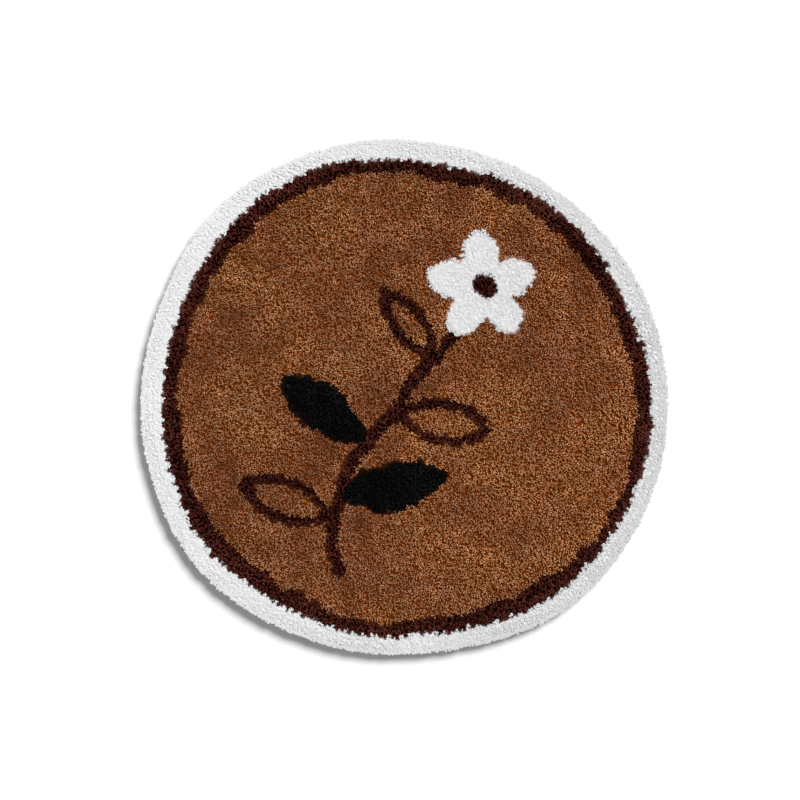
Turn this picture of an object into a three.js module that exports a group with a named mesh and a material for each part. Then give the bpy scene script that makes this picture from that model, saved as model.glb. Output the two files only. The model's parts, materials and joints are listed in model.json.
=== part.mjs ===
// Round bath mat of cut plush pile, lying flat.
// It is one tufted piece: yarn shot through a cloth, cut level, and locked by latex on the back.
// Sizes are in millimetres and +Z is up. The origin is on the floor, in the middle of the mat's box.

import * as THREE from "three";
import { ImprovedNoise } from "three/addons/math/ImprovedNoise.js";

// Driving dimensions
const matDiameter = 600; // across the tips of the pile, on average
const backingThickness = 3; // the cloth and its latex
const pileHeight = 15; // cut pile above the backing
const lockCount = 200; // clumps of yarn that splay out round the rim
const lockReach = 2; // how far the longest clump stands out past the gap beside it
const crownPitch = 15; // spacing of the points on the top, fine enough for its lumps
const floorEdgePoints = 120; // round the flat underside

const matHeight = backingThickness + pileHeight;
const pointsPerLock = 3;
const rimPoints = lockCount * pointsPerLock;

// The mat is cut by hand, so its outline swells in and out of a true circle.
// A row has its number of waves round the mat, their height, and their phase in degrees from +X.
const outlineSwells = [
  { waves: 2, height: 3.8, phase: -28 },
  { waves: 3, height: 2.9, phase: -55 },
  { waves: 4, height: 2.4, phase: 160 },
  { waves: 6, height: 0.6, phase: 80 },
  { waves: 8, height: 0.5, phase: -40 },
  { waves: 9, height: 0.6, phase: -170 },
];

// The section of the rim, from the floor up: the backing stands back under the pile,
// the pile bulges out over it, and its level cut runs almost to the edge.
// A row has how far it lies inside the tips, its height, and its share of the clumps' reach.
const rimSection = [
  { inset: 6.5, height: backingThickness, lockShare: 0.2 },
  { inset: 1.6, height: 6, lockShare: 0.8 },
  { inset: 0, height: 10, lockShare: 1 },
  { inset: 0.4, height: 14.5, lockShare: 1 },
  { inset: 2.6, height: 17.2, lockShare: 0.7 },
];
const floorEdgeInset = 7;
const crownEdgeInset = 10;

// Footfalls and packing leave the pile gently lumpy.
// A row is one size of lump: how far apart such lumps lie, and how far they rise and sink.
const pileLumps = [
  { spacing: 95, height: 1.1 },
  { spacing: 42, height: 0.9 },
];
const noise = new ImprovedNoise();

// Distance from the middle of the outline to the tips of the pile in a direction
function tipRadius(angle) {
  let radius = matDiameter / 2 - lockReach / 2;
  for (const { waves, height, phase } of outlineSwells) {
    radius += height * Math.cos(waves * angle - THREE.MathUtils.degToRad(phase));
  }
  return radius;
}

// Rise of the pile above its even height at a place
function lumpHeight(x, y) {
  let rise = 0;
  for (const { spacing, height } of pileLumps) {
    rise += height * noise.noise(x / spacing, y / spacing, spacing);
  }
  return rise;
}

// Each clump of yarn at the rim has its own length, lean and lift
function makeLocks() {
  const random = THREE.MathUtils.seededRandom;
  random(11);
  return Array.from({ length: lockCount }, () => ({
    reach: lockReach * THREE.MathUtils.lerp(0.35, 1, random()),
    lean: THREE.MathUtils.lerp(-0.12, 0.12, random()),
    lift: THREE.MathUtils.lerp(-1, 1, random()),
  }));
}

// One ring of points round the rim. Every third point is a gap between two clumps,
// and the two after it are the sides of a clump.
function rimRing(section, locks) {
  const ring = [];
  for (let i = 0; i < rimPoints; i += 1) {
    const lock = locks[Math.floor(i / pointsPerLock)];
    const inGap = i % pointsPerLock === 0;
    const lean = inGap ? 0 : lock.lean;
    const angle = (2 * Math.PI * (i + lean)) / rimPoints;
    const reach = inGap ? 0 : lock.reach * section.lockShare;
    const lift = inGap ? 0 : lock.lift * section.lockShare;
    const radius = tipRadius(angle) - section.inset + reach;
    const z = section.height + lift * (section.height > backingThickness ? 0.5 : 0);
    ring.push(new THREE.Vector3(radius * Math.cos(angle), radius * Math.sin(angle), z));
  }
  return ring;
}

// A plain ring that follows the outline at a given share of its size
function plainRing(count, share, inset, heightAt) {
  const ring = [];
  for (let i = 0; i < count; i += 1) {
    const angle = (2 * Math.PI * i) / count;
    const radius = (tipRadius(angle) - inset) * share;
    const x = radius * Math.cos(angle);
    const y = radius * Math.sin(angle);
    ring.push(new THREE.Vector3(x, y, heightAt(x, y)));
  }
  return ring;
}

const floorHeight = () => 0;
const crownHeight = (x, y) => matHeight + lumpHeight(x, y);

// The mat's rings in order, from the floor's edge over the rim to the innermost ring of the crown
function makeRings() {
  const locks = makeLocks();
  const rings = [plainRing(floorEdgePoints, 1, floorEdgeInset, floorHeight)];
  for (const section of rimSection) {
    rings.push(rimRing(section, locks));
  }
  const crownRadius = matDiameter / 2 - crownEdgeInset;
  const crownRings = Math.round(crownRadius / crownPitch);
  for (let i = crownRings; i > 0; i -= 1) {
    const share = i / crownRings;
    const count = Math.max(6, Math.round((2 * Math.PI * crownRadius * share) / crownPitch));
    rings.push(plainRing(count, share, crownEdgeInset, crownHeight));
  }
  return rings;
}

// Faces between two rings that may differ in their number of points.
// Both start on +X, and the side that lags behind in angle takes the next step.
function stitch(indices, lower, upper) {
  let i = 0;
  let j = 0;
  while (i < lower.count || j < upper.count) {
    const a = lower.first + (i % lower.count);
    const b = upper.first + (j % upper.count);
    const lowerLags = (i + 1) * upper.count <= (j + 1) * lower.count;
    if (j === upper.count || (i < lower.count && lowerLags)) {
      indices.push(a, lower.first + ((i + 1) % lower.count), b);
      i += 1;
    } else {
      indices.push(a, upper.first + ((j + 1) % upper.count), b);
      j += 1;
    }
  }
}

// Faces from a ring to the one point that closes it
function closeRing(indices, ring, middle, facesUp) {
  for (let i = 0; i < ring.count; i += 1) {
    const a = ring.first + i;
    const b = ring.first + ((i + 1) % ring.count);
    indices.push(...(facesUp ? [a, b, middle] : [b, a, middle]));
  }
}

function makeMatGeometry() {
  const points = [];
  const indices = [];
  const placed = makeRings().map((ring) => {
    const first = points.length;
    points.push(...ring);
    return { first, count: ring.length };
  });
  for (let i = 1; i < placed.length; i += 1) {
    stitch(indices, placed[i - 1], placed[i]);
  }
  points.push(new THREE.Vector3(0, 0, 0), new THREE.Vector3(0, 0, crownHeight(0, 0)));
  closeRing(indices, placed[0], points.length - 2, false);
  closeRing(indices, placed[placed.length - 1], points.length - 1, true);

  const geometry = new THREE.BufferGeometry().setFromPoints(points);
  geometry.setIndex(indices);
  geometry.computeBoundingBox();
  const middle = geometry.boundingBox.getCenter(new THREE.Vector3());
  geometry.translate(-middle.x, -middle.y, 0);
  geometry.computeVertexNormals();
  return geometry;
}

const plushPile = new THREE.MeshStandardMaterial({
  name: "plush pile",
  color: 0x8a5833,
  roughness: 0.95,
  metalness: 0,
});

const mat = new THREE.Mesh(makeMatGeometry(), plushPile);
mat.name = "mat";

const bathMat = new THREE.Group();
bathMat.name = "round bath mat";
bathMat.add(mat);

export default bathMat;
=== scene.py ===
# %% [markdown]
# # A round bath mat of cut plush pile
#
# The real mat is one piece. Yarn is shot through a cloth, its loops are cut to a level pile, and
# latex on the back holds every end. What you see from above is therefore nothing but yarn ends,
# well over a thousand under a hand, each leaning its own way. A flat disc with a bump texture
# can't show that, least of all at the rim, so this lesson grows the pile as geometry.
#
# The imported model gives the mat's true size and its outline. We load it first and never move it.

# %% Load the frame
import json
import math

import bmesh
import bpy
import numpy as np
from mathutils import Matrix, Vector, noise
from mathutils.bvhtree import BVHTree

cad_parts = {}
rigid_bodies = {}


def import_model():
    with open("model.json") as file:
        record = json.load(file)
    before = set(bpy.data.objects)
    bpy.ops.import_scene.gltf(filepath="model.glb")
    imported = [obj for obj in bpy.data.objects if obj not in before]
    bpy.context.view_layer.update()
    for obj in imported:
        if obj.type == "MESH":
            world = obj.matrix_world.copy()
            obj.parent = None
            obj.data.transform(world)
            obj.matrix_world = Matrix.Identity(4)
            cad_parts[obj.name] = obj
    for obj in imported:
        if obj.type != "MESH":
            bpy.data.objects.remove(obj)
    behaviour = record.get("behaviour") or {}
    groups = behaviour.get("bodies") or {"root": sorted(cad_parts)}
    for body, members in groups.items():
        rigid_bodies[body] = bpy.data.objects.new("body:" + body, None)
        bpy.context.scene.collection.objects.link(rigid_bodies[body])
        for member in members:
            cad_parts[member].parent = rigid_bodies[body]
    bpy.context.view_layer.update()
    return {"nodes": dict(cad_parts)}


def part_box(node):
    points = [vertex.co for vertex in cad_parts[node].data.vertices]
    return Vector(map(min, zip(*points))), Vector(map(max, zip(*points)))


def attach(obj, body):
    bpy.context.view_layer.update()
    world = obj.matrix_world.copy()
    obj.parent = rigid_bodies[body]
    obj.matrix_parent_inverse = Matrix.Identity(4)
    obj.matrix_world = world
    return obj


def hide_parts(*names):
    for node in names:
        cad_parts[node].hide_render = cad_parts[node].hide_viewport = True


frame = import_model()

MM = 0.001
mat_low, mat_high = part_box("mat")
mat_size = mat_high - mat_low
print("mat, mm:", [round(side / MM, 1) for side in mat_size])

# %% [markdown]
# ## Camera
#
# The photograph looks straight down on the mat. Its edges lie at known pixels of a square
# picture, so the mat's real width gives the scale, and the camera is shifted sideways by as much
# as the mat is off the picture's middle. A long lens keeps the view as flat as it is there.

# %% Look straight down
PICTURE_SIDE = 800
MAT_LEFT, MAT_RIGHT = 140.5, 668.0
MAT_TOP, MAT_BOTTOM = 138.5, 655.3
LENS_MM, SENSOR_MM = 90, 36

metres_per_pixel = mat_size.x / (MAT_RIGHT - MAT_LEFT)
view_side = PICTURE_SIDE * metres_per_pixel
camera_data = bpy.data.cameras.new("camera")
camera_data.lens, camera_data.sensor_width = LENS_MM, SENSOR_MM
camera_data.sensor_fit = "HORIZONTAL"
camera = bpy.data.objects.new("camera", camera_data)
camera.location = (
    (PICTURE_SIDE - MAT_LEFT - MAT_RIGHT) / 2 * metres_per_pixel,
    (MAT_TOP + MAT_BOTTOM - PICTURE_SIDE) / 2 * metres_per_pixel,
    mat_high.z / 2 + view_side * LENS_MM / SENSOR_MM,
)
bpy.context.scene.collection.objects.link(camera)
bpy.context.scene.camera = camera
print("camera height, m:", round(camera.location.z, 3))

# %% [markdown]
# ## Floor and light
#
# A plain pale floor catches the one thing that shows how thick the mat is: a narrow shadow along
# its lower left rim. It comes from a soft light at the upper right, half way up the sky. A pale
# world fills the shadows. The floor is paler than the mat's white yarn, so that the white border
# still stands out from it. Light that slants across the pile also makes its grain stand out.

# %% Make the floor and the light
FLOOR_SIDE = 8.0
FLOOR_WHITENESS = 0.95
KEY_AZIMUTH, KEY_ELEVATION = 49, 48
KEY_STRENGTH, KEY_SOFTNESS = 3.56, 26
FILL_STRENGTH = 0.27


def new_object(name, data):
    """Links a new object into the scene and returns it."""
    made = bpy.data.objects.new(name, data)
    bpy.context.scene.collection.objects.link(made)
    return made


floor_mesh = bpy.data.meshes.new("floor")
half = FLOOR_SIDE / 2
floor_mesh.from_pydata(
    [(-half, -half, 0), (half, -half, 0), (half, half, 0), (-half, half, 0)], [], [(0, 1, 2, 3)]
)
floor = new_object("floor", floor_mesh)
floor_material = bpy.data.materials.new("pale floor")
floor_material.use_nodes = True
floor_shader = floor_material.node_tree.nodes["Principled BSDF"]
floor_shader.inputs["Base Color"].default_value = (*[FLOOR_WHITENESS] * 3, 1)
floor_shader.inputs["Roughness"].default_value = 0.9
floor_shader.inputs["Specular IOR Level"].default_value = 0.1
floor_mesh.materials.append(floor_material)

key = bpy.data.lights.new("key", "SUN")
key.energy = KEY_STRENGTH
key.angle = math.radians(KEY_SOFTNESS)
azimuth, elevation = math.radians(KEY_AZIMUTH), math.radians(KEY_ELEVATION)
towards_key = Vector((
    math.cos(elevation) * math.cos(azimuth),
    math.cos(elevation) * math.sin(azimuth),
    math.sin(elevation),
))
key_lamp = new_object("key", key)
key_lamp.rotation_euler = towards_key.to_track_quat("Z", "Y").to_euler()

world = bpy.data.worlds.new("studio")
world.use_nodes = True
world.node_tree.nodes["Background"].inputs["Color"].default_value = (1, 1, 1, 1)
world.node_tree.nodes["Background"].inputs["Strength"].default_value = FILL_STRENGTH
bpy.context.scene.world = world
bpy.context.scene.view_settings.view_transform = "Standard"
print("light comes from:", [round(part, 2) for part in towards_key])

# %% [markdown]
# ## Node maths that reads as Python
#
# Materials and Geometry Nodes are both trees of nodes. The two small classes below let us write
# a tree as a formula: `Wire` wraps a socket, and adding or multiplying wires adds Math nodes.
# `Nodes.add` makes any other node from its type, its settings and its inputs.

# %% Define the node helpers


class Wire:
    """An output socket whose arithmetic makes Math nodes."""

    def __init__(self, nodes, socket):
        self.nodes, self.socket = nodes, socket

    def __add__(self, other):
        return self.nodes.math("ADD", self, other)

    def __sub__(self, other):
        return self.nodes.math("SUBTRACT", self, other)

    def __rsub__(self, other):
        return self.nodes.math("SUBTRACT", other, self)

    def __mul__(self, other):
        return self.nodes.math("MULTIPLY", self, other)

    def __truediv__(self, other):
        return self.nodes.math("DIVIDE", self, other)

    def __pow__(self, other):
        return self.nodes.math("POWER", self, other)

    __radd__ = __add__
    __rmul__ = __mul__


class Nodes:
    """Builds one node tree."""

    def __init__(self, tree):
        self.tree = tree

    def add(self, kind, settings=None, inputs=None, output=0):
        """Makes a node, sets it up, fills its inputs, and returns one of its outputs."""
        node = self.tree.nodes.new(kind)
        for name, value in (settings or {}).items():
            setattr(node, name, value)
        for name, value in (inputs or {}).items():
            if isinstance(value, Wire):
                self.tree.links.new(value.socket, self.find(node.inputs, name))
            else:
                self.find(node.inputs, name).default_value = value
        return Wire(self, self.find(node.outputs, output))

    def find(self, sockets, name):
        """A socket by its place, or by its name among those in use."""
        if isinstance(name, int):
            return sockets[name]
        return next(s for s in sockets if s.name == name and s.enabled)

    def math(self, operation, *values):
        """A Math node of these values."""
        return self.add("ShaderNodeMath", {"operation": operation}, dict(enumerate(values)))

    def mix(self, factor, first, second, blend="MIX"):
        """Mixes two colours."""
        return self.add(
            "ShaderNodeMix",
            {"data_type": "RGBA", "blend_type": blend},
            {"Factor": factor, "A": first, "B": second},
            "Result",
        )

    def attribute(self, name):
        """A number that the mesh holds at its points."""
        return self.add("ShaderNodeAttribute", {"attribute_name": name}, output="Fac")


# %% [markdown]
# ## The outline, read from the frame
#
# The mat was cut by hand, so it isn't quite round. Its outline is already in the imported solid: a
# level ray from outside towards the middle meets the rim where the pile reaches furthest. One
# ray each half degree gives a table that answers "how far is the rim in this direction?". The
# table is smoothed, because the tufts will bring the rim's small clumps with them.

# %% Read the rim
SAME_POINT = 0.01 * MM
RIM_RAYS, SMOOTH_RAYS = 720, 15
WIDEST_HEIGHT = 9.5 * MM

cad_mesh = bpy.data.meshes.new_from_object(frame["nodes"]["mat"])
solid = bmesh.new()
solid.from_mesh(cad_mesh)
bmesh.ops.remove_doubles(solid, verts=solid.verts, dist=SAME_POINT)
cad_tree = BVHTree.FromBMesh(solid)


def rim_from_outside(angle):
    """Distance from the middle to the mat's rim."""
    outward = Vector((math.cos(angle), math.sin(angle), 0))
    hit = cad_tree.ray_cast(outward + Vector((0, 0, WIDEST_HEIGHT)), -outward)[0]
    return hit.xy.length


rim_angles = np.linspace(-math.pi, math.pi, RIM_RAYS, endpoint=False)
rim_reach = np.array([rim_from_outside(angle) for angle in rim_angles])
padded_reach = np.concatenate([rim_reach[-SMOOTH_RAYS:], rim_reach, rim_reach[:SMOOTH_RAYS]])
window = np.hanning(2 * SMOOTH_RAYS + 1)
rim_reach = np.convolve(padded_reach, window / window.sum(), "valid")


def rim_at(x, y):
    """Distance from the middle to the smoothed rim in the direction of each place."""
    return np.interp(np.arctan2(y, x), rim_angles, rim_reach, period=2 * math.pi)


print("rim, mm:", round(rim_reach.min() / MM, 1), "to", round(rim_reach.max() / MM, 1))

# %% [markdown]
# ## Which yarn goes where
#
# Tufting draws with yarn. Each place on the cloth gets one colour, and nothing is printed. We
# write the drawing as a function of a place: a white border, a dark ring inside it, a brown
# field, and a flower sprig on it. Depth inside a shape is a short formula. A pointed leaf is
# where two equal discs overlap, a petal is an ellipse, and a stem is all within half a line's
# width of a curve.
#
# Nothing here is drawn true. Noise moves every place a little first, because a tufting gun
# wanders, and the border and the ring swell and narrow on their way round.

# %% Set out the border and the ring
BROWN, DARK, BLACK, WHITE = range(4)
BORDER_WIDTH, RING_WIDTH = 25.2 * MM, 15.1 * MM
# Both bands swell and narrow in slow waves, as the outline does. Each row has its number of waves
# round the mat, their height in millimetres, and the direction of one crest in degrees.
BORDER_SWELLS = [
    {"waves": 1, "height": 1.7, "crest": 175},
    {"waves": 5, "height": 1.0, "crest": 16},
    {"waves": 6, "height": 1.3, "crest": 21},
    {"waves": 7, "height": 1.1, "crest": -24},
]
RING_SWELLS = [
    {"waves": 1, "height": 1.5, "crest": 195},
    {"waves": 2, "height": 1.2, "crest": 24},
    {"waves": 4, "height": 1.9, "crest": 32},
    {"waves": 5, "height": 1.6, "crest": 2},
    {"waves": 6, "height": 1.8, "crest": -2},
]
# The ring's inner edge is uneven on its own as well
RING_UNEVEN, RING_UNEVEN_SIZE = 6 * MM, 22 * MM
# Each row is one size of the gun's wandering: how far it strays, and over what distance. The
# sprig takes both. The bands take the first alone, because their slow waves are given above.
WANDERINGS = [
    {"stray": 2.5 * MM, "over": 18 * MM},
    {"stray": 5.5 * MM, "over": 60 * MM},
]
# A seed is a level in the noise, and each use has its own, so that no two move together
SIDEWAYS_SEED, UPWARD_SEED, RING_SEED = 3.1, 9.7, 5.3


def smooth_noise(places, size, seed):
    """Noise between about -1 and 1 whose hills are of this size."""
    return np.array([noise.noise(Vector((x, y, seed))) for x, y in places[:, :2] / size])


def wander(places, rows):
    """Places as the tufting gun met them, a little off."""
    seen = places
    for row in rows:
        sideways = smooth_noise(places, row["over"], SIDEWAYS_SEED)
        upward = smooth_noise(places, row["over"], UPWARD_SEED)
        seen = seen + row["stray"] * np.column_stack((sideways, upward))
    return seen


def swelling(angles, swells):
    """How much wider a band is in each direction."""
    wider = np.zeros(len(angles))
    for row in swells:
        wider += row["height"] * MM * np.cos(row["waves"] * (angles - math.radians(row["crest"])))
    return wider


round_the_mat = [swelling(rim_angles, swells) / MM for swells in (BORDER_SWELLS, RING_SWELLS)]
print("bands swell by up to, mm:", [round(float(wider.max()), 1) for wider in round_the_mat])

# %% Draw the sprig
# A line's width at the roots. The paler ends beside it lean over it, so a little less shows.
LINE_WIDTH = 14 * MM
OUTLINE_WIDTH = 0.8 * LINE_WIDTH
STEM = [np.array(point) * MM for point in ((-76, -196), (-104, -62), (22, 2), (76, 100))]
# Each leaf has its share of the way up the stem, its heading in degrees, its size in millimetres
# and its yarn. A brown leaf is a bare piece of the field inside a dark outline.
LEAVES = [
    {"up": 0.15, "heading": 160, "length": 120, "width": 54, "yarn": BROWN},
    {"up": 0.24, "heading": 10, "length": 132, "width": 56, "yarn": BLACK},
    {"up": 0.44, "heading": 142, "length": 126, "width": 56, "yarn": BLACK},
    {"up": 0.56, "heading": -10, "length": 122, "width": 52, "yarn": BROWN},
    {"up": 0.80, "heading": 127, "length": 100, "width": 46, "yarn": BROWN},
]
BLOSSOM = np.array((90, 126)) * MM
PETALS, PETAL_TURN = 5, 20
PETAL_LENGTH, PETAL_WIDTH = 54 * MM, 41 * MM
PETAL_OUT = 0.66 * PETAL_LENGTH
BLOSSOM_EYE = 14 * MM


def turned(places, origin, heading):
    """Places seen from an origin: how far along a heading, and how far to its left."""
    angle = math.radians(heading)
    shifted = places - origin
    along = shifted @ np.array((math.cos(angle), math.sin(angle)))
    left = shifted @ np.array((-math.sin(angle), math.cos(angle)))
    return along, left


def leaf_depth(places, foot, heading, length, width):
    """Depth inside a leaf that grows from its foot."""
    along, left = turned(places, foot, heading)
    disc = (length**2 + width**2) / (4 * width)
    offset = disc - width / 2
    along = along - length / 2
    return disc - np.maximum(np.hypot(along, left - offset), np.hypot(along, left + offset))


def petal_depth(places, middle, heading, length, width):
    """Roughly the depth inside an ellipse."""
    along, left = turned(places, middle, heading)
    out = np.hypot(along * 2 / length, left * 2 / width)
    return (1 - out) * width / 2


def curve_points(start, first, second, end, steps=40):
    """Points along a cubic curve."""
    t = np.linspace(0, 1, steps)[:, None]
    ends = (1 - t) ** 3 * start + t**3 * end
    return ends + 3 * (1 - t) ** 2 * t * first + 3 * (1 - t) * t**2 * second


def line_distance(places, points):
    """Distance to a line through points."""
    nearest = np.full(len(places), np.inf)
    for a, b in zip(points, points[1:]):
        share = np.clip((places - a) @ (b - a) / ((b - a) @ (b - a)), 0, 1)
        gap = places - a - share[:, None] * (b - a)
        nearest = np.minimum(nearest, np.hypot(gap[:, 0], gap[:, 1]))
    return nearest


stem = curve_points(*STEM)


def draw_sprig(yarn, seen):
    """Sets the yarn of the places that lie on the sprig."""
    yarn[line_distance(seen, stem) < LINE_WIDTH / 2] = DARK
    for leaf in LEAVES:
        foot = stem[round(leaf["up"] * (len(stem) - 1))]
        size = leaf["length"] * MM, leaf["width"] * MM
        depth = leaf_depth(seen, foot, leaf["heading"], *size)
        if leaf["yarn"] == BLACK:
            yarn[depth > 0] = BLACK
        else:
            yarn[depth > 0] = DARK
            yarn[depth > OUTLINE_WIDTH] = BROWN
    for i in range(PETALS):
        heading = PETAL_TURN + i * 360 / PETALS
        angle = math.radians(heading)
        middle = BLOSSOM + PETAL_OUT * np.array((math.cos(angle), math.sin(angle)))
        yarn[petal_depth(seen, middle, heading, PETAL_LENGTH, PETAL_WIDTH) > 0] = WHITE
    yarn[np.hypot(*(seen - BLOSSOM).T) < BLOSSOM_EYE] = DARK


def yarn_at(places, reach=0.0):
    """The yarn at each place, where the ring's outer edge reaches this far over the border."""
    x, y = places.T
    inside_rim = rim_at(x, y) - np.hypot(*wander(places, WANDERINGS[:1]).T)
    border_width = BORDER_WIDTH + swelling(np.arctan2(y, x), BORDER_SWELLS)
    ring_width = RING_WIDTH + swelling(np.arctan2(y, x), RING_SWELLS)
    ring_width += RING_UNEVEN * smooth_noise(places, RING_UNEVEN_SIZE, RING_SEED)
    yarn = np.full(len(places), BROWN)
    draw_sprig(yarn, wander(places, WANDERINGS))
    yarn[inside_rim < border_width + ring_width] = DARK
    yarn[inside_rim < border_width - reach] = WHITE
    return yarn


stem_length = np.linalg.norm(np.diff(stem, axis=0), axis=1).sum()
print("stem, mm:", round(float(stem_length) / MM), "leaves:", len(LEAVES), "petals:", PETALS)

# %% [markdown]
# ## The cloth and the foot of the pile
#
# Under the yarn ends lies the body of the mat: the latex-coated cloth, and the foot of the pile,
# where the yarn stands so close that it reads as one mass in deep shade. One closed piece makes
# both. Its top is a square grid bent into the outline, because a grid has no pole where faces
# pinch, and its edge is drawn down in a few steps to the flat underside.

# %% Make the bed of the pile
BED_CELLS = 112
# How far the bed lies under the solid's skin. White yarn is so dense that its foot lies higher.
BED_DEPTH, WHITE_BED_DEPTH = 4.6 * MM, 1.6 * MM
BED_UNEVEN, BED_UNEVEN_SIZE, BED_SEED = 0.5 * MM, 5 * MM, 2
# How steeply the bed rises from its edge to its full height, for each share of its radius
BED_RISE = 25
# The ring's dark foot reaches over the border about as far as its ends do
DARK_BED_REACH = 3.5 * MM
CLOTH_THICKNESS = 3 * MM
# Each row of the edge has how far it lies inside the rim, and its height, in millimetres
BED_EDGE = [
    {"inset": 6.5, "height": 15.6},
    {"inset": 4.6, "height": 14.8},
    {"inset": 4.0, "height": 12.5},
    {"inset": 4.0, "height": 9.0},
    {"inset": 5.0, "height": 6.0},
    {"inset": 6.8, "height": 3.0},
    {"inset": 7.1, "height": 0.0},
]


def square_to_disc(u, v):
    """Moves a point of the square from -1 to 1 into the unit disc, keeping areas even."""
    if u == v == 0:
        return 0.0, 0.0
    if abs(u) > abs(v):
        radius, angle = u, math.pi / 4 * v / u
    else:
        radius, angle = v, math.pi / 2 - math.pi / 4 * u / v
    return radius * math.cos(angle), radius * math.sin(angle)


def skin_height(x, y):
    """Height of the solid's upper skin at a place."""
    return cad_tree.ray_cast(Vector((x, y, 1)), Vector((0, 0, -1)))[0].z


def bed_top():
    """The points of the bed's top, row by row."""
    steps = np.linspace(-1, 1, BED_CELLS + 1)
    disc = np.array([square_to_disc(u, v) for v in steps for u in steps])
    places = disc * (rim_at(*disc.T) - BED_EDGE[0]["inset"] * MM)[:, None]
    white = yarn_at(places, DARK_BED_REACH) == WHITE
    depth = np.where(white, WHITE_BED_DEPTH, BED_DEPTH)
    depth = depth + BED_UNEVEN * smooth_noise(places, BED_UNEVEN_SIZE, BED_SEED)
    crown = np.array([skin_height(x, y) for x, y in places]) - depth
    edge = BED_EDGE[0]["height"] * MM
    rise = np.clip((1 - np.hypot(*disc.T)) * BED_RISE, 0, 1)
    return [(x, y, z) for (x, y), z in zip(places, edge + rise * (crown - edge))]


def make_bed():
    """The whole bed: its top, and rings of faces from there down to the underside."""
    points = bed_top()
    last, side = BED_CELLS, BED_CELLS + 1
    faces = []
    for row in range(last):
        for first in range(row * side, row * side + last):
            faces.append((first, first + 1, first + side + 1, first + side))
    loop = list(range(last))
    loop += [row * side + last for row in range(last)]
    loop += [last * side + col for col in range(last, 0, -1)]
    loop += [row * side for row in range(last, 0, -1)]
    for row in BED_EDGE[1:]:
        ring = []
        for index in loop:
            x, y = points[index][:2]
            angle = math.atan2(y, x)
            radius = float(rim_at(x, y)) - row["inset"] * MM
            ring.append(len(points))
            points.append((radius * math.cos(angle), radius * math.sin(angle), row["height"] * MM))
        for i, index in enumerate(loop):
            after = (i + 1) % len(loop)
            faces.append((index, ring[i], ring[after], loop[after]))
        loop = ring
    faces.append(tuple(reversed(loop)))
    mesh = bpy.data.meshes.new("cloth_and_pile_foot")
    mesh.from_pydata(points, [], faces)
    mesh.update()
    return mesh


bed_mesh = make_bed()
bed = new_object("cloth_and_pile_foot", bed_mesh)

# %% [markdown]
# ## Planting the tufts
#
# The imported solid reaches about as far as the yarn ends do. So its upper skin is where the tips
# belong, and a Poisson disc scatter over it gives each tuft its own room, as the needle does. The
# scatter is a small Geometry Nodes tree. It hands back bare points with the skin's normal, and
# Python then decides how each tuft leans and which yarn it is.

# %% Scatter the tips over the solid's skin
TUFT_SPACING = 2.92 * MM
# Points are tried this densely on each square metre, and any nearer than the spacing is dropped
TRIED_DENSITY, PLANTING_SEED = 1.2e6, 4
# Below this height the solid stands for cloth and latex, and no tuft ends there
SKIN_FROM = 3.4 * MM


def new_tree(name, inputs):
    """A Geometry Nodes tree with named inputs: returns it, its wires by name, and its output."""
    tree = bpy.data.node_groups.new(name, "GeometryNodeTree")
    tree.interface.new_socket("Geometry", in_out="INPUT", socket_type="NodeSocketGeometry")
    tree.interface.new_socket("Geometry", in_out="OUTPUT", socket_type="NodeSocketGeometry")
    for label, kind in inputs.items():
        tree.interface.new_socket(label, in_out="INPUT", socket_type=kind)
    entry = tree.nodes.new("NodeGroupInput")
    nodes = Nodes(tree)
    wires = {s.name: Wire(nodes, s) for s in entry.outputs if s.name}
    return nodes, wires, tree.nodes.new("NodeGroupOutput")


def run_tree(target, tree, values):
    """Runs a tree on an object with these inputs and returns the result as a plain mesh."""
    modifier = target.modifiers.new(tree.name, "NODES")
    modifier.node_group = tree
    for item in tree.interface.items_tree:
        if item.in_out == "INPUT" and item.name in values:
            modifier[item.identifier] = values[item.name]
    evaluated = target.evaluated_get(bpy.context.evaluated_depsgraph_get())
    made = bpy.data.meshes.new_from_object(evaluated)
    target.modifiers.remove(modifier)
    return made


def planting_tree():
    """Scatters points on a surface, and keeps its normal at each."""
    nodes, given, out = new_tree("plant", {
        "Spacing": "NodeSocketFloat",
        "Density": "NodeSocketFloat",
        "Seed": "NodeSocketInt",
    })
    points = nodes.add(
        "GeometryNodeDistributePointsOnFaces",
        {"distribute_method": "POISSON"},
        {
            "Mesh": given["Geometry"],
            "Distance Min": given["Spacing"],
            "Density Max": given["Density"],
            "Seed": given["Seed"],
        },
        "Points",
    )
    normal = Wire(nodes, points.socket.node.outputs["Normal"])
    kept = nodes.add(
        "GeometryNodeStoreNamedAttribute",
        {"data_type": "FLOAT_VECTOR", "domain": "POINT"},
        {"Geometry": points, "Name": "normal_out", "Value": normal},
        "Geometry",
    )
    vertices = nodes.add("GeometryNodePointsToVertices", inputs={"Points": kept})
    nodes.tree.links.new(vertices.socket, out.inputs[0])
    return nodes.tree


def read_numbers(items, name, kind, width=1):
    """One property of every item as an array."""
    values = np.empty(len(items) * width, kind)
    items.foreach_get(name, values)
    return values.reshape(-1, width) if width > 1 else values


skin = solid.copy()
below = [face for face in skin.faces if face.calc_center_median().z < SKIN_FROM]
bmesh.ops.delete(skin, geom=below, context="FACES")
skin_mesh = bpy.data.meshes.new("skin")
skin.to_mesh(skin_mesh)
skin.free()
solid.free()
skin_object = new_object("skin", skin_mesh)
planted = run_tree(skin_object, planting_tree(), {
    "Spacing": TUFT_SPACING,
    "Density": TRIED_DENSITY,
    "Seed": PLANTING_SEED,
})
tips = read_numbers(planted.attributes["position"].data, "vector", np.float32, 3).astype(float)
skin_normals = read_numbers(planted.attributes["normal_out"].data, "vector", np.float32, 3)
bpy.data.objects.remove(skin_object)
print("tufts:", len(tips))

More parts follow.
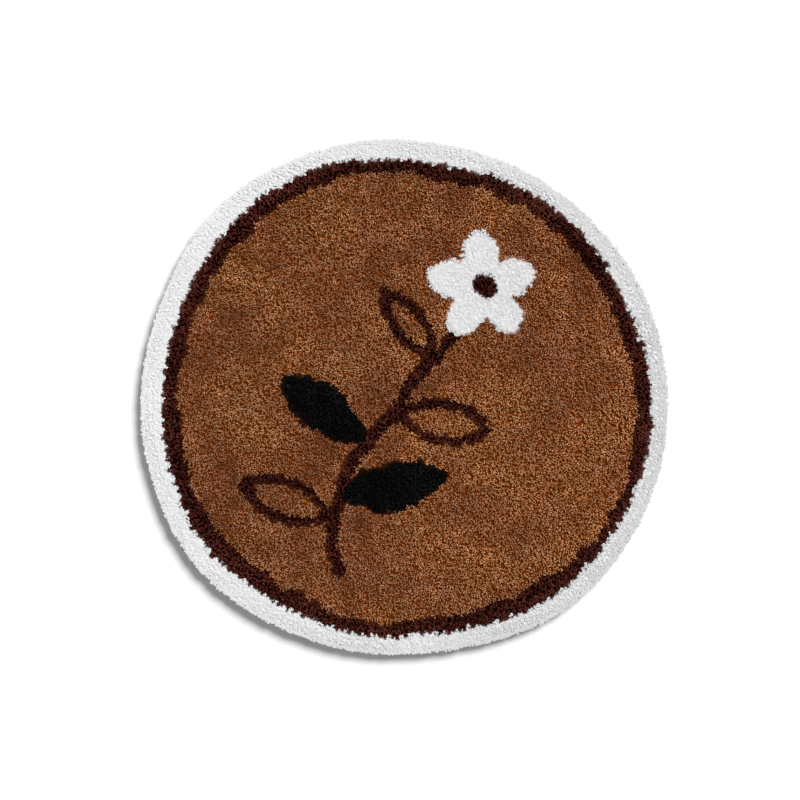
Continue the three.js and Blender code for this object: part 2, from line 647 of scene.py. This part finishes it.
# %% [markdown]
# ## How the rim's tufts stand, and the ring's edge
#
# At the rim a tuft shows its side, and not its end, so it stands a little inside the solid. Tips
# on the upper side of the rim belong to the level cut, so they are lifted to it. Those under the
# rim's bulge are lifted as well, so that no end goes through the floor.
#
# Along the ring's outer edge the dark ends lie over the white border in small lumps, one beside
# the other. Each lump has its place, its length along the edge, and its reach over the border.

# %% Seat the rim's tips and set out the lumps
RIM_ZONE, SIDE_TOP, SHOULDER_HEIGHT, LOWEST_TIP = 8 * MM, 9 * MM, 17 * MM, 4.5 * MM
RIM_INSET = 2.2 * MM
# The lumps matter most at this distance from the rim, and fade over this breadth
LUMP_MIDDLE, LUMP_BREADTH = 22 * MM, 12 * MM
LUMP_HALF_LENGTH, LUMP_REACH = (3.2 * MM, 5.0 * MM), (1.5 * MM, 6.5 * MM)
# The number of lumps, and how far one strays from its even place, as a share of its room
LUMPS, LUMP_STRAY = 172, 0.35

# Every draw that follows comes from this one seed
random = np.random.default_rng(8)


def lump_reach(angles, radius):
    """How far the lumps of the ring's edge stand out in each direction."""
    strays = random.uniform(-LUMP_STRAY, LUMP_STRAY, LUMPS)
    spots = (np.arange(LUMPS) + strays) * 2 * math.pi / LUMPS
    halves = random.uniform(*LUMP_HALF_LENGTH, LUMPS) / radius
    reaches = random.uniform(*LUMP_REACH, LUMPS)
    away = np.abs((angles[:, None] - spots + math.pi) % (2 * math.pi) - math.pi)
    return (reaches * np.clip(1 - (away / halves) ** 2, 0, 1)).max(axis=1)


outward = tips * (1, 1, 0)
outward /= np.maximum(np.linalg.norm(outward, axis=1), 1e-9)[:, None]
from_rim = rim_at(*tips.T[:2]) - np.hypot(*tips.T[:2])
near_edge = np.exp(-(((from_rim - LUMP_MIDDLE) / LUMP_BREADTH) ** 2))
reach = lump_reach(np.arctan2(tips[:, 1], tips[:, 0]), rim_reach.mean() - LUMP_MIDDLE)
at_rim = from_rim < RIM_ZONE
on_side = at_rim & (tips[:, 2] < SIDE_TOP)
lowest = np.where(on_side, LOWEST_TIP, np.where(at_rim, SHOULDER_HEIGHT, 0))
tips[:, 2] = np.maximum(tips[:, 2], lowest)
tips -= (RIM_INSET * np.clip(1 - from_rim / RIM_ZONE, 0, 1))[:, None] * outward
print("tufts at the rim:", int(at_rim.sum()), "of them on its side:", int(on_side.sum()))

# %% [markdown]
# ## How each tuft leans
#
# No two tufts stand alike. The pile lies in soft drifts, a hand wide, and in smaller locks whose
# ends part from the next lock. Towards the rim nothing holds the ends from outside, so they fan
# out, and the cut, level to the last, leaves a crisp shoulder. A tuft's root is a pile's height
# below its tip along its lean, and the root's place decides the yarn. A lump leans out over the
# border without its root, so its lean is left out there.

# %% Lean the tufts and choose their yarn
PILE_LENGTH = 15 * MM
DRIFT_LEAN, DRIFT_SIZE, DRIFT_SEED = 0.30, 60 * MM, 1.5
LOCK_LEAN, LOCK_SIZE, LOCK_SEED = 0.30, 9 * MM, 21.5
# How much of the locks' lean the ring's edge takes away, because its lumps lie in order
LOCKS_HELD = 0.7
# Each tuft's own stray lean, its share at the rim, and its share along X, Y and Z
STRAY_LEAN, RIM_STRAY, STRAY_SHARES = 0.12, 0.5, (1, 1, 0.3)
# Noise for a second direction is read this many levels further on
NEXT_LEVEL = 5
# How much more each yarn stands up straight, in the order above: the thick white yarn alone does
SETTLE = [0, 0, 0, 2.0]
# How far the ends fan out, by their distance from the rim
FAN = {"from_rim": [0, 5 * MM, 20 * MM, 45 * MM], "lean": [0.3, 0.22, 0.1, 0]}
# So near the rim every tuft is white, however it leans
ALL_WHITE = 12 * MM


def lean_noise(places, size, seed):
    """A sideways lean that changes smoothly from place to place."""
    x, y = smooth_noise(places, size, seed), smooth_noise(places, size, seed + NEXT_LEVEL)
    return np.column_stack((x, y, np.zeros(len(places))))


over_border = (near_edge * reach / PILE_LENGTH)[:, None] * outward
leans = np.where(on_side[:, None], skin_normals, (0.0, 0.0, 1.0))
leans += np.interp(from_rim, FAN["from_rim"], FAN["lean"])[:, None] * outward
leans += over_border
leans += DRIFT_LEAN * (1 - near_edge)[:, None] * lean_noise(tips, DRIFT_SIZE, DRIFT_SEED)
locks = lean_noise(tips, LOCK_SIZE, LOCK_SEED)
leans += LOCK_LEAN * (1 - LOCKS_HELD * near_edge)[:, None] * locks
leans /= np.linalg.norm(leans, axis=1)[:, None]
yarns = yarn_at((tips - PILE_LENGTH * (leans - over_border))[:, :2], reach)
yarns[from_rim < ALL_WHITE] = WHITE
stray = STRAY_LEAN * np.where(at_rim, RIM_STRAY, 1)[:, None]
leans += stray * random.normal(size=tips.shape) * STRAY_SHARES
leans[:, 2] += np.where(on_side, 0, np.choose(yarns, SETTLE))
leans /= np.linalg.norm(leans, axis=1)[:, None]
roots = tips - PILE_LENGTH * leans
for yarn, name in enumerate(("brown", "dark", "black", "white")):
    print(name, "tufts:", int((yarns == yarn).sum()))

# %% [markdown]
# ## Gathering the ends into locks
#
# Cut ends cling to their neighbours, so the surface breaks up into small locks with gaps in deep
# shade between them. Smooth noise that moves the tips sideways does the same: where its pushes
# meet, tips crowd together. Ends are also uneven in height, and one yarn stands a little proud of
# another. White yarn is the thickest, so it clings least and its cut is the most even.

# %% Gather the tips
# Each yarn, in the order above: how far ends move together, how uneven they are, and how proud
CLING = [1.5 * MM, 1.0 * MM, 0.8 * MM, 0.2 * MM]
UNEVEN = [0.35 * MM, 0.3 * MM, 0.3 * MM, 0.07 * MM]
PROUD = [0, 0.6 * MM, 0.3 * MM, -0.8 * MM]
CLING_SIZE, CLING_SEED = 5.5 * MM, 61.5
# How much thicker a tuft is in a lump of the ring, and at the rim
LUMP_GIRTH, RIM_GIRTH = 0.3, 0.1

tips += np.choose(yarns, CLING)[:, None] * lean_noise(tips, CLING_SIZE, CLING_SEED)
sunk = np.choose(yarns, UNEVEN) * np.abs(random.normal(size=len(tips)))
tips[:, 2] += np.choose(yarns, PROUD) - sunk
girths = np.where(yarns == DARK, 1 + LUMP_GIRTH * near_edge, 1) + RIM_GIRTH * at_rim
print("tips, mm:", round(tips[:, 2].min() / MM, 1), "to", round(tips[:, 2].max() / MM, 1))

# %% [markdown]
# ## The shape of a tuft
#
# A tuft is a cut end of plied yarn: three plies that spread where the knife let them go. Each ply
# is a slim three-sided stalk, a little bent, thickest near its end and blunt at the cut. Each yarn
# has a few such tufts, modelled in tuft lengths and widths of 1, and everything after this only
# repeats them. Each point holds its share of the way up the ply for the material to shade by.
#
# Each tuft also brings a small UV map: three upright strips, one for each ply. When the pile is
# grown, every tuft gets a square of its own on the piece's map, so that baked colours are sharp.

# %% Define a tuft
TUFT_KINDS = 6
PLIES = 3
# Each ring of a ply has its share of the length, and of the way its end leans over
PLY_RINGS = [
    {"up": 0.0, "over": 0.0},
    {"up": 0.66, "over": 0.32},
    {"up": 1.0, "over": 1.0},
]
# How far out a ply's foot stands, how far it strays round the tuft, and how far its end turns
FOOT_OUT, FOOT_STRAY, END_TURN = 0.4, 0.4, 0.9
# A ply's end leans out by this much of its yarn's spread
SPREAD_SHARE = (0.6, 1.2)
MAP_NAME = "OFBake"
STRIP_LEFT, STRIP_RIGHT, STRIP_FOOT, STRIP_HEIGHT = 0.15, 0.85, 0.06, 0.88


def step_towards(angle):
    """A step of 1 in this direction."""
    return Vector((math.cos(angle), math.sin(angle)))


def on_strip(number, across, up):
    """A place on the map of one tuft."""
    return (number + across) / PLIES, STRIP_FOOT + STRIP_HEIGHT * up


def add_ply(tuft, number, foot, end, height, widths):
    """Adds one ply, a closed three-sided stalk, to a tuft."""
    faces, corners = tuft["faces"], tuft["corners"]
    first = len(tuft["points"])
    turn = random.uniform(0, 2 * math.pi)
    for ring, width in zip(PLY_RINGS, widths):
        middle = foot.lerp(end, ring["over"])
        for side in range(3):
            offset = step_towards(turn + side * 2 * math.pi / 3) * width / 2
            tuft["points"].append((*(middle + offset), height * ring["up"] - 1))
            tuft["facts"].append((ring["up"], number))
    for level in range(len(PLY_RINGS) - 1):
        for side in range(3):
            a = first + 3 * level + side
            b = first + 3 * level + (side + 1) % 3
            faces.append((a, b, b + 3, a + 3))
            low, high = PLY_RINGS[level]["up"], PLY_RINGS[level + 1]["up"]
            corners += [on_strip(number, across, low) for across in (STRIP_LEFT, STRIP_RIGHT)]
            corners += [on_strip(number, across, high) for across in (STRIP_RIGHT, STRIP_LEFT)]
    top = first + 3 * (len(PLY_RINGS) - 1)
    faces.append((first + 2, first + 1, first))
    faces.append((top, top + 1, top + 2))
    for up in (0, 1):
        corners += [on_strip(number, across, up) for across in (STRIP_LEFT, 0.5, STRIP_RIGHT)]


def make_tuft(kind, yarn):
    """One kind of tuft, as an object for Geometry Nodes to repeat."""
    tuft = {"points": [], "faces": [], "facts": [], "corners": []}
    start = random.uniform(0, 2 * math.pi)
    for number in range(PLIES):
        angle = start + number * 2 * math.pi / PLIES + random.uniform(-FOOT_STRAY, FOOT_STRAY)
        foot = FOOT_OUT * step_towards(angle)
        bend = angle + random.uniform(-END_TURN, END_TURN)
        end = yarn["spread"] * random.uniform(*SPREAD_SHARE) * step_towards(bend)
        height = random.uniform(1 - yarn["uneven"], 1)
        add_ply(tuft, number, foot, end, height, yarn["plies"])
    mesh = bpy.data.meshes.new(f"tuft_kind_{kind}")
    mesh.from_pydata(tuft["points"], [], tuft["faces"])
    for name, values in zip(("up_ply", "ply"), np.array(tuft["facts"], np.float32).T):
        mesh.attributes.new(name, "FLOAT", "POINT").data.foreach_set("value", values.copy())
    corners = np.array(tuft["corners"], np.float32)
    mesh.uv_layers.new(name=MAP_NAME).uv.foreach_set("vector", corners.ravel())
    for face in mesh.polygons:
        face.use_smooth = len(face.vertices) == 4 or not yarn["sharp_cut"]
    return bpy.data.objects.new(f"tuft_kind_{kind}", mesh)


def make_tuft_kinds(yarn):
    """A collection of a yarn's tufts."""
    kinds = bpy.data.collections.new("tuft kinds")
    bpy.context.scene.collection.children.link(kinds)
    for kind in range(TUFT_KINDS):
        kinds.objects.link(make_tuft(kind, yarn))
    return kinds


# %% [markdown]
# ## Growing the pile
#
# Instances on points are made for this: the same few tufts, thousands of times, each turned to
# its own lean. Python gives the tree a mesh of bare points that hold the lean, the shade, the
# girth and the number of each tuft. The tree picks a kind, turns it, scales it, and makes it
# real.

# %% Build the growing tree
TUFT_LENGTH = 9.5 * MM
# Tufts differ this much in width and in length
WIDTH_SHARE, LENGTH_SHARE = (0.85, 1.2), (0.85, 1.1)


def growing_tree():
    """Puts a tuft on every point."""
    nodes, given, out = new_tree("grow", {
        "Kinds": "NodeSocketCollection",
        "Length": "NodeSocketFloat",
        "Width": "NodeSocketFloat",
        "Seed": "NodeSocketInt",
        "Material": "NodeSocketMaterial",
    })

    def varied(low, high, seed, kind="FLOAT"):
        """A number of each tuft's own."""
        return nodes.add(
            "FunctionNodeRandomValue",
            {"data_type": kind},
            {"Min": low, "Max": high, "Seed": given["Seed"] + seed},
            "Value",
        )

    def stored(name, kind):
        """What Python wrote on the points."""
        return nodes.add(
            "GeometryNodeInputNamedAttribute", {"data_type": kind}, {"Name": name}, "Attribute"
        )

    kinds = nodes.add(
        "GeometryNodeCollectionInfo",
        inputs={"Collection": given["Kinds"], "Separate Children": True, "Reset Children": True},
    )
    lean = stored("lean", "FLOAT_VECTOR")
    upright = nodes.add("FunctionNodeAlignRotationToVector", {"axis": "Z"}, {"Vector": lean})
    turn = nodes.add("ShaderNodeCombineXYZ", inputs={"Z": varied(0.0, 2 * math.pi, seed=1)})
    spin = nodes.add("FunctionNodeEulerToRotation", inputs={"Euler": turn})
    facing = nodes.add(
        "FunctionNodeRotateRotation",
        {"rotation_space": "LOCAL"},
        {"Rotation": upright, "Rotate By": spin},
    )
    width = given["Width"] * stored("girth", "FLOAT") * varied(*WIDTH_SHARE, seed=2)
    length = given["Length"] * varied(*LENGTH_SHARE, seed=3)
    scale = nodes.add("ShaderNodeCombineXYZ", inputs={"X": width, "Y": width, "Z": length})
    tufts = nodes.add(
        "GeometryNodeInstanceOnPoints",
        inputs={
            "Points": given["Geometry"],
            "Instance": kinds,
            "Pick Instance": True,
            "Instance Index": varied(0, TUFT_KINDS - 1, seed=4, kind="INT"),
            "Rotation": facing,
            "Scale": scale,
        },
    )
    real = nodes.add("GeometryNodeRealizeInstances", inputs={"Geometry": tufts})
    painted = nodes.add(
        "GeometryNodeSetMaterial", inputs={"Geometry": real, "Material": given["Material"]}
    )
    nodes.tree.links.new(painted.socket, out.inputs[0])
    return nodes.tree


grow = growing_tree()
print("nodes in the growing tree:", len(grow.nodes))

# %% [markdown]
# ## Yarn
#
# Plush yarn is matt. Its colour isn't flat: every end takes the light its own way, and the dye
# varies from skein to skein. Painted shade makes patches of pile a little lighter or darker, as
# pile that lies different ways catches the light, and painted light makes the yarn lighter towards
# one side of the mat. Each ply fades to a colour painted at its foot for the shade deep in the
# pile, far darker than the cut, except in the white yarn, where it is painted a little paler for
# the light that passes through. So the material shades by the height up the ply, by a number that
# each ply holds, and by noise over the mat.

# %% Choose the yarns
# Each yarn has its slot in the record and its gloss. Its tufts have their width in millimetres,
# how far their ends spread, the widths of a ply at its rings, how unevenly long the plies are,
# and whether the cut has a crisp edge. Its colours are the ply's foot, painted for the light and
# shade deep in the pile, and the darkest and the palest cut. Painted light drifts over the mat:
# the yarn is painted lighter by this much for each metre along X and Y.
YARNS = [
    {
        "name": "brown", "slot": "brown_pile", "specular": 0.0, "width": 1.8, "spread": 0.95,
        "plies": (0.7, 1.0, 0.55), "uneven": 0.15, "sharp_cut": False,
        "painted_foot_light": (0.135, 0.03, 0.004), "dim": (0.54, 0.165, 0.036), "bright": (0.71, 0.42, 0.24),
        "painted_light_drift": (0.45, 0.0),
    },
    {
        "name": "dark", "slot": "dark_pile", "specular": 0.0, "width": 2.1, "spread": 0.65,
        "plies": (0.7, 1.0, 0.55), "uneven": 0.15, "sharp_cut": False,
        "painted_foot_light": (0.012, 0.002, 0.0015), "dim": (0.033, 0.006, 0.004),
        "bright": (0.2, 0.055, 0.038), "painted_light_drift": (0.0, 0.0),
    },
    {
        "name": "black", "slot": "black_pile", "specular": 0.03, "width": 2.0, "spread": 0.8,
        "plies": (0.7, 1.0, 0.55), "uneven": 0.15, "sharp_cut": False,
        "painted_foot_light": (0.003, 0.003, 0.003), "dim": (0.004, 0.0035, 0.003),
        "bright": (0.02, 0.02, 0.021), "painted_light_drift": (0.0, 0.0),
    },
    {
        "name": "white", "slot": "white_pile", "specular": 0.05, "width": 3.5, "spread": 0.4,
        "plies": (0.7, 1.0, 0.85), "uneven": 0.06, "sharp_cut": True,
        "painted_foot_light": (0.75, 0.75, 0.755), "dim": (0.705, 0.705, 0.71),
        "bright": (0.725, 0.725, 0.725), "painted_light_drift": (-0.42, 0.03),
    },
]

# %% Make the four yarns
DYE_PATCH, NAP_PATCH, LOCK_PATCH = 77 * MM, 29 * MM, 10 * MM
# How much lighter and darker the yarn is painted in large, middle and lock-sized patches: painted
# shade of pile that lies different ways in the light
SKEIN_PAINTED_SHADE, NAP_PAINTED_SHADE, LOCK_SHADE = 1.15, 1.15, 0.5
# How much more likely a cut is to be painted pale where the painted shade is lighter
PALE_PATCHES = 0.4
# The dye's two tints, and the noise values at which a skein has all of one or of the other
DYE_TINTS, DYE_ENDS = ((1.04, 0.97, 1.04), (0.97, 1.02, 0.92)), (0.35, 0.65)
# These set the numbers of tufts and plies far apart, so that chance differs from each to the next
TUFT_STEP, PLY_STEP = 977, 31


def opaque(colour):
    """A colour with nothing see-through about it."""
    return (*colour, 1)


def new_material(name):
    """A material, its nodes, and its shader."""
    material = bpy.data.materials.new(name)
    material.use_nodes = True
    return material, Nodes(material.node_tree), material.node_tree.nodes["Principled BSDF"]


def ramp(nodes, value, ends):
    """0 at the first end, 1 at the second, and even in between."""
    inputs = {"Value": value, "From Min": ends[0], "From Max": ends[1]}
    return nodes.add("ShaderNodeMapRange", inputs=inputs)


def clouds(nodes, place, size, detail):
    """Slow noise between 0 and 1, in patches of this size."""
    inputs = {"Vector": place, "Scale": 1 / size, "Detail": detail}
    return nodes.add("ShaderNodeTexNoise", inputs=inputs, output="Fac")


def shaded(nodes, colour, light):
    """A colour, made lighter or darker."""
    grey = dict.fromkeys(("Red", "Green", "Blue"), light)
    return nodes.mix(1.0, colour, nodes.add("ShaderNodeCombineColor", inputs=grey), "MULTIPLY")


def yarn_material(yarn):
    """The material of one yarn."""
    material, nodes, shader = new_material(f"{yarn['name']} yarn")
    place = nodes.add("ShaderNodeTexCoord", output="Object")
    tuft_number = nodes.attribute("shade") * TUFT_STEP
    ply_number = nodes.attribute("ply") * PLY_STEP
    number = nodes.add(
        "ShaderNodeCombineXYZ", inputs={"X": tuft_number, "Y": ply_number, "Z": 0.5}
    )
    chance = nodes.add("ShaderNodeTexWhiteNoise", inputs={"Vector": number}, output="Value")
    # Painted shade of pile that lies different ways: slow patches, lighter and darker
    nap_shade = clouds(nodes, place, NAP_PATCH, 2.0)
    pale = chance + PALE_PATCHES * (nap_shade - 0.5)
    cut = nodes.mix(pale, opaque(yarn["dim"]), opaque(yarn["bright"]))
    # Painted shade down the ply: each ply fades from its cut to its painted foot colour, far
    # darker in all but the white yarn, whose foot is painted a little paler
    height = nodes.attribute("up_ply") ** 2
    colour = nodes.mix(height, opaque(yarn["painted_foot_light"]), cut)
    # Painted light: the yarn is painted lighter towards one side of the mat and darker towards the
    # other
    across = nodes.add(
        "ShaderNodeVectorMath",
        {"operation": "DOT_PRODUCT"},
        {0: place, 1: (*yarn["painted_light_drift"], 0)},
        "Value",
    )
    light = 1 + across
    # White yarn isn't dyed, so its skeins don't differ, and it gets none of the painted shade in
    # patches
    if yarn["name"] != "white":
        skein = clouds(nodes, place, DYE_PATCH, 3.0)
        tint = nodes.mix(ramp(nodes, skein, DYE_ENDS), *[opaque(tint) for tint in DYE_TINTS])
        colour = nodes.mix(1.0, colour, tint, "MULTIPLY")
        # Painted shade: the yarn is painted lighter and darker in skein-sized, middle and
        # lock-sized patches
        lock = clouds(nodes, place, LOCK_PATCH, 1.0)
        light = light + SKEIN_PAINTED_SHADE * (skein - 0.5)
        light = light + NAP_PAINTED_SHADE * (nap_shade - 0.5) + LOCK_SHADE * (lock - 0.5)
    colour = shaded(nodes, colour, light)
    material.node_tree.links.new(colour.socket, shader.inputs["Base Color"])
    shader.inputs["Roughness"].default_value = 0.8
    shader.inputs["Specular IOR Level"].default_value = yarn["specular"]
    return material


for yarn in YARNS:
    yarn["material"] = yarn_material(yarn)
    yarn["kinds"] = make_tuft_kinds(yarn)

# %% [markdown]
# ## The pieces of the pile
#
# The pile is grown in several pieces, one yarn at a time, and the brown field in four bands as
# the tufter works across it, so that no piece is too heavy to handle. Each piece rides on the
# mat's one body. The tufts that were only there to be repeated go again at the end.

# %% Grow every piece of the pile
FIELD_BANDS = 4
# White yarn so near the rim belongs to the border, and the rest to the blossom
BORDER_ZONE = 40 * MM


def tufts_by_piece():
    """The tufts of each piece, by its name, and the piece's yarn."""
    pieces = {}
    brown = np.flatnonzero(yarns == BROWN)
    across = np.argsort(roots[brown, 1], kind="stable")
    for band, part in enumerate(np.array_split(brown[across], FIELD_BANDS)):
        pieces[f"brown_pile_{band + 1}"] = (BROWN, part)
    pieces["dark_pile"] = (DARK, np.flatnonzero(yarns == DARK))
    pieces["black_pile"] = (BLACK, np.flatnonzero(yarns == BLACK))
    border = (yarns == WHITE) & (from_rim < BORDER_ZONE)
    pieces["white_pile_left"] = (WHITE, np.flatnonzero(border & (roots[:, 0] < 0)))
    pieces["white_pile_right"] = (WHITE, np.flatnonzero(border & (roots[:, 0] >= 0)))
    pieces["white_blossom"] = (WHITE, np.flatnonzero((yarns == WHITE) & ~border))
    return pieces


def spread_map(mesh, tufts):
    """Gives each tuft a square of its own on the piece's map."""
    squares = math.ceil(math.sqrt(tufts))
    owner = read_numbers(mesh.attributes["tuft"].data, "value", np.int32)
    owner = owner[read_numbers(mesh.loops, "vertex_index", np.int32)]
    places = read_numbers(mesh.uv_layers[MAP_NAME].uv, "vector", np.float32, 2)
    places = (places + np.column_stack((owner % squares, owner // squares))) / squares
    mesh.uv_layers[MAP_NAME].uv.foreach_set("vector", places.astype(np.float32).ravel())


def grow_piece(name, yarn, members):
    """One piece of the pile, grown from its tufts' points."""
    seeds_mesh = bpy.data.meshes.new("seeds")
    seeds_mesh.from_pydata(tips[members].tolist(), [], [])
    facts = {
        "lean": ("FLOAT_VECTOR", "vector", leans[members].astype(np.float32)),
        "shade": ("FLOAT", "value", random.random(len(members)).astype(np.float32)),
        "girth": ("FLOAT", "value", girths[members].astype(np.float32)),
        "tuft": ("INT", "value", np.arange(len(members), dtype=np.int32)),
    }
    for label, (kind, field, values) in facts.items():
        seeds_mesh.attributes.new(label, kind, "POINT").data.foreach_set(field, values.ravel())
    seeds = new_object("seeds", seeds_mesh)
    mesh = run_tree(seeds, grow, {
        "Kinds": YARNS[yarn]["kinds"],
        "Length": TUFT_LENGTH,
        "Width": YARNS[yarn]["width"] * MM,
        "Seed": yarn,
        "Material": YARNS[yarn]["material"],
    })
    bpy.data.objects.remove(seeds)
    spread_map(mesh, len(members))
    piece = new_object(name, mesh)
    mesh.name = name
    mesh.calc_loop_triangles()
    print(name, "tufts:", len(members), "triangles:", len(mesh.loop_triangles))
    return piece


for name, (yarn, members) in tufts_by_piece().items():
    piece = grow_piece(name, yarn, members)
    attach(piece, "root")
for yarn in YARNS:
    for kind in list(yarn["kinds"].objects):
        bpy.data.objects.remove(kind)
    bpy.data.collections.remove(yarn["kinds"])

# %% [markdown]
# ## The bed's two faces
#
# Seen from above, the bed is the foot of the pile, so it is painted in each yarn's foot colour:
# painted shade, and under the white yarn a painted paler light. Seen from below, it is the back of
# the mat: an open scrim of cotton threads pressed into pale latex.
# Threads run both ways, and each stands a little proud of the latex.

# %% Paint the bed
SCRIM_PITCH, THREAD_RAISE = 4 * MM, 0.3 * MM
# A thread rises between these shares of the pitch, counted from the middle of a gap
THREAD_SIDE = (0.26, 0.42)
LATEX, THREAD = (0.5, 0.45, 0.36), (0.7, 0.66, 0.58)
LATEX_PATCH, LATEX_UNEVEN = 60 * MM, 0.5


def foot_material():
    """The foot of the pile, in the painted shade colour that each point holds."""
    material, nodes, shader = new_material("pile foot")
    colour = nodes.add("ShaderNodeAttribute", {"attribute_name": "painted_foot_colour"}, output="Color")
    material.node_tree.links.new(colour.socket, shader.inputs["Base Color"])
    shader.inputs["Roughness"].default_value = 0.9
    shader.inputs["Specular IOR Level"].default_value = 0.0
    return material


def back_material():
    """Latex with threads across it both ways."""
    material, nodes, shader = new_material("latex and scrim")
    place = nodes.add("ShaderNodeTexCoord", output="Object")
    parts = nodes.add("ShaderNodeSeparateXYZ", inputs={"Vector": place}).socket.node

    def threads(axis):
        """1 along the middle of each thread that crosses this axis, and 0 between threads."""
        across = nodes.math("PINGPONG", Wire(nodes, parts.outputs[axis]) / SCRIM_PITCH, 0.5)
        return ramp(nodes, across, THREAD_SIDE)

    cover = nodes.math("MAXIMUM", threads("X"), threads("Y"))
    colour = nodes.mix(cover, opaque(LATEX), opaque(THREAD))
    uneven = clouds(nodes, place, LATEX_PATCH, 4.0) - 0.5
    colour = shaded(nodes, colour, 1 + LATEX_UNEVEN * uneven)
    bump = nodes.add("ShaderNodeBump", inputs={"Height": cover, "Distance": THREAD_RAISE})
    material.node_tree.links.new(colour.socket, shader.inputs["Base Color"])
    material.node_tree.links.new(bump.socket, shader.inputs["Normal"])
    shader.inputs["Roughness"].default_value = 0.7
    return material


# The bed's top is painted in each yarn's foot colour: painted shade, and under white yarn a
# painted paler light
bed_yarn = yarn_at(np.array([v.co[:2] for v in bed_mesh.vertices]), DARK_BED_REACH)
colours = np.array([opaque(YARNS[yarn]["painted_foot_light"]) for yarn in bed_yarn], np.float32)
bed_colour = bed_mesh.attributes.new("painted_foot_colour", "FLOAT_COLOR", "POINT")
bed_colour.data.foreach_set("color", colours.ravel())
bed_mesh.materials.append(foot_material())
bed_mesh.materials.append(back_material())
for face in bed_mesh.polygons:
    face.material_index = int(face.center.z < CLOTH_THICKNESS)
print("faces of the back:", sum(face.material_index for face in bed_mesh.polygons))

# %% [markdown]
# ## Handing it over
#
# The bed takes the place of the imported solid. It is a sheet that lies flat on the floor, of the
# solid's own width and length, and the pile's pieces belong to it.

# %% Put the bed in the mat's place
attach(bed, "root")
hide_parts("mat")
